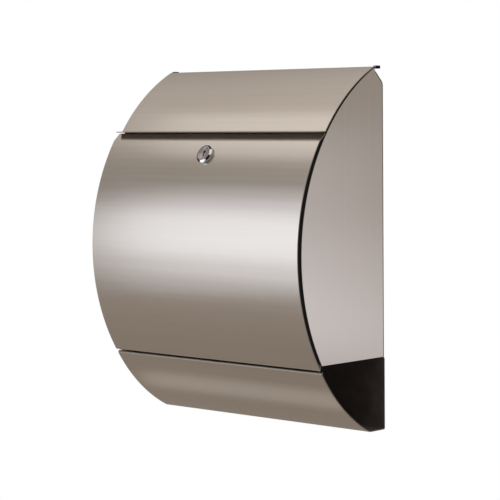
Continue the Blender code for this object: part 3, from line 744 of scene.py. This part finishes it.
def make_seal(name, side):
    """An L-section strip: it caps the side panel's front edge, and its leg lies on the inner face."""
    low, high = SEAL_HEIGHTS
    outer = DOOR_RADIUS - SHEET - SEAL_DOOR_GAP
    inner = SIDE_RADIUS + GAP
    lower, upper = (front_angle(DOOR_CENTRE, outer, height) for height in (low, high))
    tip = DOOR_CHAMFER_END + SEAL_TIP_OFFSET
    cap_outline = arc(DOOR_CENTRE, outer, lower, upper) + [tip]
    lower, upper, tip_angle = (front_angle(SIDE_CENTRE, inner, height) for height in (low, high, tip.y))
    cap_outline += arc(SIDE_CENTRE, inner, tip_angle, lower)
    leg_outline = arc(SIDE_CENTRE, inner + SEAL_OVERLAP, lower, upper)
    leg_outline += arc(SIDE_CENTRE, SEAL_LEG_RADIUS, upper, lower)
    outside = HALF_BODY - GAP
    seal = side_plate(f"fine_{name}", cap_outline, (side * (outside - SEAL_WIDTH), side * outside), RUBBER)
    leg_outside = INNER_HALF - GAP
    leg = side_plate("leg", leg_outline, (side * (leg_outside - SEAL_LEG_WIDTH), side * leg_outside), RUBBER)
    combine(seal, leg, "UNION")
    settle(seal, name, "black_rubber", edge=0.0004)


def make_hinge_arm(name):
    low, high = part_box(name)
    arm = block(f"fine_{name}", high - low, INNER)
    arm.data.transform(Matrix.Translation((low + high) / 2 - Vector((0, 0, BASE))))
    settle(arm, name, "brushed_stainless", edge=0.0004)


def make_rod(name, place, radius, half_length):
    """A round bar along X with chamfered ends."""
    chamfer = 0.0006
    profile = [
        (0, half_length),
        (radius - chamfer, half_length),
        (radius, half_length - chamfer),
        (radius, chamfer - half_length),
        (radius - chamfer, -half_length),
        (0, -half_length),
    ]
    bar = turned(f"fine_{name}", profile, [ROD_STEEL_PAINTED_SHADE], steps=48)
    turn = Matrix.Rotation(math.pi / 2, 4, "Y")
    bar.data.transform(Matrix.Translation((0, *place)) @ turn)
    settle(bar, name, "drawn_steel", edge=0)


def make_bumper(name):
    """A rubber block under the flap's lower corner, square to the flap that rests on it."""
    low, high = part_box(name)
    curve = bulge(FLAP_RIDGE, FLAP_ROOT, FLAP_RADIUS, 28)
    height = (low.z + high.z) / 2 - BASE
    face = min(curve, key=lambda point: abs(point.y - height))
    onward = curve[curve.index(face) + 1] - face
    turn = Matrix.Rotation(math.atan2(onward.x, -onward.y), 4, "X")
    bumper = block(f"fine_{name}", BUMPER_SIZE, RUBBER)
    bumper.data.transform(Matrix.Translation((low + high) / 2 - Vector((0, 0, BASE))) @ turn)
    settle(bumper, name, "black_rubber", edge=0.0012)


def make_flap_bracket(name):
    front_foot, rear_foot = FLAP_BRACKET_FOOT
    head = arc(FLAP_HINGE, FLAP_KNUCKLE_RADIUS, math.radians(-60), math.radians(165), 32)
    low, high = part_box(name)
    bracket = side_plate(f"fine_{name}", [front_foot, rear_foot] + head, (low.x, high.x), INNER)
    middle = ((low.x + high.x) / 2, *FLAP_HINGE)
    combine(bracket, drill(FLAP_ROD_RADIUS + GAP, 0.01, middle, "X"))
    settle(bracket, name, "brushed_stainless", edge=0.0002)


# Flap


def make_flap():
    curve = bulge(FLAP_RIDGE, FLAP_ROOT, FLAP_RADIUS)
    # The flap's underside takes the darkened steel: painted shade.
    flap = sheet("fine_flap", bend([FLAP_REAR] + curve + [FLAP_LIP]), HALF_FLAP, (BRUSHED_X, PAINTED_SHADE_UNDERSIDE, PAINTED_SHADE_EDGE))
    settle(flap, "flap", "brushed_stainless", edge_material=EDGE_SLOT)


def make_flap_leaf(name):
    """A hinge leaf under the flap, with its rear end rolled round the rod."""
    low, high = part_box(name)
    radius = FLAP_KNUCKLE_RADIUS - SHEET / 2
    knuckle = arc(FLAP_HINGE, radius, FLAP_LEAF_ANGLE, FLAP_LEAF_ANGLE - math.radians(265), 40)
    along = Vector((-math.sin(FLAP_LEAF_ANGLE), math.cos(FLAP_LEAF_ANGLE)))
    path = [knuckle[0] + along * FLAP_LEAF_REACH] + knuckle
    middle = (low.x + high.x) / 2
    leaf = sheet(f"fine_{name}", path, (high.x - low.x) / 2, (INNER, INNER, PAINTED_SHADE_EDGE), middle=middle)
    settle(leaf, name, "brushed_stainless", edge_material=EDGE_SLOT, edge=0.0002)


def make_edging():
    """The rubber channel on the flap's rear edge: only its closed ends stand over the sheet."""
    half_height = SHEET / 2 + GAP + EDGING_WALL
    rear = FLAP_REAR.x + GAP + EDGING_WALL
    outline = [
        Vector((rear, -half_height)),
        Vector((rear, half_height)),
        Vector((rear - EDGING_TOP_REACH, half_height)),
        Vector((rear - EDGING_TOP_REACH, 0)),
        Vector((rear - EDGING_FOOT_REACH, 0)),
        Vector((rear - EDGING_FOOT_REACH, -half_height)),
    ]
    outline = [point + Vector((0, FLAP_REAR.y)) for point in outline]
    end = HALF_FLAP + GAP
    edging = side_plate("fine_flap_edging", outline, (-end - EDGING_WALL, end + EDGING_WALL), RUBBER)
    slot = block("edging_slot", Vector((2 * end, 0.016, SHEET + 2 * GAP)))
    slot.location = (0, FLAP_REAR.x + GAP - 0.008, FLAP_REAR.y)
    combine(edging, slot)
    top = block("edging_top", Vector((2 * (end - EDGING_END_LENGTH), 0.03, 0.004)))
    top.location = (0, FLAP_REAR.x, FLAP_REAR.y + SHEET / 2 + 0.0022)
    combine(edging, top)
    settle(edging, "flap_edging", "black_rubber", edge=0.0002)


# Door


def make_door():
    middle = SHEET / 2
    hinge_angle = math.atan2(*(DOOR_HINGE - DOOR_CENTRE).yx) % (2 * math.pi)
    top = front_angle(DOOR_CENTRE, DOOR_RADIUS, DOOR_TOP)
    face = arc(DOOR_CENTRE, DOOR_RADIUS - middle, top, hinge_angle, 110)
    face = bend([DOOR_CHAMFER_END] + face)
    knuckle = arc(
        DOOR_HINGE, DOOR_KNUCKLE_RADIUS - middle, hinge_angle, hinge_angle + DOOR_KNUCKLE_WRAP, 53
    )
    first_cut = len(face) - 1 + round((KNUCKLE_NOTCH_START - hinge_angle) / DOOR_KNUCKLE_WRAP * 53)
    half_notch = KNUCKLE_NOTCH_WIDTH / 2
    boxes = [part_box(f"door_hinge_arm_{place}") for place in ("left", "middle", "right")]
    arms = [(low.x + high.x) / 2 for low, high in boxes]
    stations = [arm + side * half_notch for arm in arms for side in (-1, 1)] + [-HALF_ROD, HALF_ROD]

    def is_cut(row, x):
        return row >= first_cut and (abs(x) > HALF_ROD or any(abs(x - arm) < half_notch for arm in arms))

    door = sheet("fine_door", face + knuckle[1:], HALF_DOOR, OUTSIDE, stations=stations, is_cut=is_cut)
    hole = drill(LOCK_HOLE_RADIUS, 20 * SHEET, (0, 0, 0), "Z")
    hole.data.transform(Matrix.Translation((0, *LOCK_PLACE)) @ Matrix.Rotation(LOCK_TILT, 4, "X"))
    combine(door, hole)
    settle(door, "door", "brushed_stainless", edge_material=EDGE_SLOT)


# Lock, in its own frame: Z points out of the door and Y up along it

LOCK_FRAME = Matrix.Translation((0, *LOCK_PLACE)) @ Matrix.Rotation(LOCK_TILT, 4, "X")


def settle_in_lock(piece, node, slot, **options):
    piece.data.transform(LOCK_FRAME)
    settle(piece, node, slot, **options)


def make_lock_barrel():
    """The housing: a chamfered bezel with a ring step round the plug, and a threaded barrel."""
    bore = LOCK_PLUG_RADIUS + 0.0001
    root = LOCK_BARREL_RADIUS - 0.0005
    pitch = 0.001
    turns = int((NUT_SPAN[1] - LOCK_BARREL_END) / pitch) - 1
    thread = []
    for crest in (NUT_SPAN[1] - turn * pitch for turn in range(turns)):
        thread += [(LOCK_BARREL_RADIUS, crest), (root, crest - pitch / 2)]
    profile = [
        (bore, LOCK_PLUG_FACE - 0.0001),
        (bore + 0.0009, LOCK_PLUG_FACE - 0.0001),
        (bore + 0.0014, LOCK_BEZEL_FACE),
        (LOCK_BEZEL_RADIUS - LOCK_BEZEL_CHAMFER, LOCK_BEZEL_FACE),
        (LOCK_BEZEL_RADIUS, LOCK_BEZEL_FACE - LOCK_CHAMFER_DEPTH),
        (LOCK_BEZEL_RADIUS, GAP),
        (LOCK_BARREL_RADIUS, GAP),
        *thread,
        (root, LOCK_BARREL_END + 0.0002),
        (root, LOCK_BARREL_END),
        (bore, LOCK_BARREL_END),
    ]
    barrel = turned("fine_lock_barrel", profile, [CHROME, BEZEL_PAINTED_REFLECTION_CHROME, FACE_CHROME], ring=True)
    # The chamfer takes the bezel chrome with its painted reflections, and the flat ring face takes the face
    # chrome.
    for face in barrel.data.polygons:
        radius = face.center.xy.length
        is_wall = radius > LOCK_BEZEL_RADIUS - 0.0003
        if face.center.z > GAP and not is_wall:
            face.material_index = 1 if radius > LOCK_BEZEL_RADIUS - LOCK_BEZEL_CHAMFER else 2
    settle_in_lock(barrel, "lock_barrel", "chrome_plate", edge=0.00018)


def make_lock_plug():
    """The turning plug: a dished face round the keyhole, with the first wafer inside it."""
    thread = 0.0026
    profile = [
        (0, LOCK_PLUG_FACE - 0.0003),
        (0.0046, LOCK_PLUG_FACE - 0.0003),
        (0.0051, LOCK_PLUG_FACE),
        (LOCK_PLUG_RADIUS - 0.0002, LOCK_PLUG_FACE),
        (LOCK_PLUG_RADIUS, LOCK_PLUG_FACE - 0.0002),
        (LOCK_PLUG_RADIUS, LOCK_PLUG_END),
        (PLUG_STUB_RADIUS, LOCK_PLUG_END),
        (PLUG_STUB_RADIUS, PLUG_STUB_END),
        (thread, PLUG_STUB_END),
        (thread, -0.0130),
        (0, -0.0130),
    ]
    plug = turned("fine_lock_plug", profile, [FACE_CHROME])
    slot = block("slot", Vector((0.0014, 0.0076, 0.0120)))
    slot.location.z = LOCK_PLUG_FACE
    combine(plug, slot)
    ward = block("ward", Vector((0.0030, 0.0022, 0.0120)))
    ward.location = (0, 0.0018, LOCK_PLUG_FACE)
    combine(plug, ward)
    settle_in_lock(plug, "lock_plug", "chrome_plate", edge=0.0001, segments=2)


def make_lock_nut():
    """A hexagon nut with its corners chamfered on both faces."""
    low, high = NUT_SPAN
    nut = plate("fine_lock_nut", circle(NUT_RADIUS, steps=6), high - low, ZINC)
    cone = [
        (0, high),
        (NUT_RADIUS * 0.88, high),
        (NUT_RADIUS * 1.01, high - 0.0009),
        (NUT_RADIUS * 1.01, low + 0.0009),
        (NUT_RADIUS * 0.88, low),
        (0, low),
    ]
    nut.data.transform(Matrix.Translation((0, 0, (low + high) / 2)))
    combine(nut, turned("cone", cone, [ZINC]), "INTERSECT")
    combine(nut, drill(LOCK_BARREL_RADIUS + 0.0001, 0.02, (0, 0, 0), "Z"))
    settle_in_lock(nut, "lock_nut", "zinc_plated_steel", edge=0.0001, segments=2)


def make_cam():
    """The cam: a bar round its hub and tip, with a round hole on the plug's stub."""
    lean = math.acos((CAM_HUB_RADIUS - CAM_TIP_RADIUS) / CAM_REACH)
    outline = arc(Vector((0, 0)), CAM_HUB_RADIUS, lean, 2 * math.pi - lean, 48)
    outline += arc(Vector((CAM_REACH, 0)), CAM_TIP_RADIUS, -lean, lean, 32)
    cam = plate("fine_lock_cam", outline, CAM_THICKNESS, ZINC)
    combine(cam, drill(PLUG_STUB_RADIUS + 0.0001, 0.01, (0, 0, 0), "Z"))
    cam.data.transform(Matrix.Translation((0, 0, CAM_MIDDLE)))
    settle_in_lock(cam, "lock_cam", "zinc_plated_steel", edge=0.0003)


def make_cam_washer():
    low, high = CAM_WASHER_SPAN
    bore = 0.0026
    profile = [(bore, high), (CAM_WASHER_RADIUS, high), (CAM_WASHER_RADIUS, low), (bore, low)]
    washer = turned("fine_cam_washer", profile, [ZINC], ring=True)
    settle_in_lock(washer, "cam_washer", "zinc_plated_steel", edge=0.00015)


def make_cam_screw():
    """A pan-head screw with a cross recess."""
    low, high = CAM_SCREW_HEAD
    dome = [
        (CAM_SCREW_HEAD_RADIUS * math.sin(angle), low + (high - low) * 0.55 * (1 - math.cos(angle)))
        for angle in (math.radians(18 * step) for step in range(5, -1, -1))
    ]
    profile = [
        (0, -0.0133),
        (0.0023, -0.0133),
        (0.0023, high),
        (CAM_SCREW_HEAD_RADIUS, high),
        *dome,
    ]
    screw = turned("fine_cam_screw", profile, [ZINC])
    for angle in (0, math.pi / 2):
        recess = block("recess", Vector((0.0011, 0.0048, 0.0030)))
        recess.rotation_euler.z = angle
        recess.location.z = low
        combine(screw, recess)
    settle_in_lock(screw, "cam_screw", "zinc_plated_steel", edge=0.00012, segments=2)


# Assembly


def build():
    make_back_panel()
    make_washers()
    for place, side in (("left", -1), ("right", 1)):
        make_side_panel(f"{place}_side_panel", side)
        make_seal(f"{place}_door_seal", side)
        make_bumper(f"flap_bumper_{place}")
        make_flap_bracket(f"flap_hinge_bracket_{place}")
    make_floor()
    make_tray()
    make_lock_rail()
    for place in ("left", "middle", "right"):
        make_hinge_arm(f"door_hinge_arm_{place}")
        make_flap_leaf(f"flap_hinge_leaf_{place}")
    make_rod("flap_hinge_rod", FLAP_HINGE, FLAP_ROD_RADIUS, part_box("flap_hinge_rod")[1].x)
    make_rod("door_hinge_rod", DOOR_HINGE, DOOR_ROD_RADIUS, HALF_ROD)
    make_flap()
    make_edging()
    make_door()
    make_lock_barrel()
    make_lock_plug()
    make_lock_nut()
    make_cam()
    make_cam_washer()
    make_cam_screw()


# Studio


def make_floor_disc():
    """A plain floor, paler to the camera than in reflections, so that it doesn't light the underside."""
    shape = bmesh.new()
    bmesh.ops.create_circle(shape, cap_ends=True, segments=128, radius=STUDIO_FLOOR_RADIUS)
    material, shader = shader_of("studio_floor", FLOOR_COLOUR, 0.7, 0.0)
    path = material.node_tree.nodes.new("ShaderNodeLightPath")
    add_tint(material, shader, path.outputs["Is Camera Ray"], FLOOR_COLOUR, PALE_FLOOR_COLOUR)
    disc = new_piece("studio_floor", shape, material)
    disc.location.z = STUDIO_FLOOR_HEIGHT


def make_world():
    """Plain white behind the object, and a softer studio around it for everything but the camera."""
    world = bpy.data.worlds.new("studio")
    bpy.context.scene.world = world
    world.use_nodes = True
    nodes, links = world.node_tree.nodes, world.node_tree.links
    background = nodes["Background"]
    place = nodes.new("ShaderNodeTexCoord")
    split = nodes.new("ShaderNodeSeparateXYZ")
    rise = nodes.new("ShaderNodeMapRange")
    rise.inputs["From Min"].default_value = -1.0
    rise.inputs["From Max"].default_value = 1.0
    ramp = nodes.new("ShaderNodeValToRGB")
    ramp.color_ramp.interpolation = "B_SPLINE"
    while len(ramp.color_ramp.elements) < len(STUDIO_TONES):
        ramp.color_ramp.elements.new(0.5)
    for element, (height, tone) in zip(ramp.color_ramp.elements, STUDIO_TONES):
        element.position = (height + 1) / 2
        element.color = (*scaled(STUDIO_WARMTH, tone), 1.0)
    path = nodes.new("ShaderNodeLightPath")
    mix = nodes.new("ShaderNodeMix")
    mix.data_type = "RGBA"
    mix.inputs["B"].default_value = (1.0, 1.0, 1.0, 1.0)
    links.new(place.outputs["Generated"], split.inputs["Vector"])
    links.new(split.outputs["Z"], rise.inputs["Value"])
    links.new(rise.outputs["Result"], ramp.inputs["Fac"])
    links.new(ramp.outputs["Color"], mix.inputs["A"])
    links.new(path.outputs["Is Camera Ray"], mix.inputs["Factor"])
    links.new(mix.outputs["Result"], background.inputs["Color"])


def add_softbox(name, rises, x_span, distance, radiance, colour=(1.0, 1.0, 1.0), side=-1):
    """A rectangular light whose edges run along X, in front of the object (side -1) or behind it.

    It faces the X axis and spans two angles over the horizon in degrees. The radiance is its surface's.
    """
    low, high = x_span
    angle = math.radians(sum(rises) / 2)
    length = 2 * distance * math.tan(math.radians(rises[1] - rises[0]) / 2)
    light = bpy.data.lights.new(name, "AREA")
    light.shape = "RECTANGLE"
    light.size = high - low
    light.size_y = length
    light.energy = radiance * math.pi * (high - low) * length
    light.color = colour
    softbox = bpy.data.objects.new(name, light)
    bpy.context.scene.collection.objects.link(softbox)
    outward = Vector((0, side * math.cos(angle), math.sin(angle)))
    turn = outward.to_track_quat("Z", "Y").to_matrix().to_4x4()
    place = outward * distance + Vector(((low + high) / 2, 0, 0))
    softbox.matrix_world = Matrix.Translation(place) @ turn
    softbox.visible_camera = False


def make_camera():
    azimuth, pitch, roll = (math.radians(angle) for angle in CAMERA_TURN)
    data = bpy.data.cameras.new("view")
    data.lens = CAMERA_LENS
    data.sensor_width = 36.0
    camera = bpy.data.objects.new("view", data)
    bpy.context.scene.collection.objects.link(camera)
    turn = Matrix.Rotation(azimuth, 4, "Z") @ Matrix.Rotation(math.pi / 2 - pitch, 4, "X")
    camera.matrix_world = Matrix.Translation(CAMERA_PLACE) @ turn @ Matrix.Rotation(roll, 4, "Z")
    bpy.context.scene.camera = camera


# Brightness of the studio's surroundings by the height of their direction, from -1 below to 1 above
STUDIO_TONES = [
    (-1.0, 0.30),
    (-0.4, 0.36),
    (-0.1, 0.42),
    (0.2, 0.40),
    (0.5, 0.31),
    (0.75, 0.72),
    (1.0, 0.74),
]
STUDIO_WARMTH = (1.0, 0.93, 0.85)
FLOOR_COLOUR = (0.49, 0.447, 0.405)
PALE_FLOOR_COLOUR = (0.88, 0.87, 0.85)
STUDIO_FLOOR_HEIGHT = -0.75
STUDIO_FLOOR_RADIUS = 1.9

# Softboxes in front, and behind on the right
KEY_COLOUR = (0.80, 0.88, 1.0)
RIGHT_COLOUR = (0.84, 0.87, 1.0)

# Camera: its place, its azimuth, downward pitch and roll in degrees, and its lens in millimetres
CAMERA_PLACE = (1.4238, -1.5716, 0.1405)
CAMERA_TURN = (43.03, 3.98, -0.52)
CAMERA_LENS = 137.8

build()
make_floor_disc()
make_world()
add_softbox("key_wide", (-34, 34), (-1.92, -0.5), 1.65, 0.35, KEY_COLOUR)
add_softbox("key_middle", (-20, 27), (-1.72, -0.5), 1.60, 0.38, KEY_COLOUR)
add_softbox("key_core", (-7, 19), (-1.64, -0.5), 1.55, 0.42, KEY_COLOUR)
add_softbox("overhead", (53, 81), (-1.6, -0.4), 1.6, 0.37)
add_softbox("right_high", (-15, 6), (1.1, 1.9), 1.1, 0.42, RIGHT_COLOUR, side=1)
add_softbox("right_middle", (-18, -4), (0.9, 1.8), 1.1, 0.25, RIGHT_COLOUR, side=1)
add_softbox("right_low", (-21, -10), (0.5, 1.7), 1.1, 0.24, RIGHT_COLOUR, side=1)
add_softbox("low_back", (-98, -84), (-0.6, -0.05), 0.6, 0.17, side=1)
make_camera()
bpy.context.scene.view_settings.view_transform = "Standard"
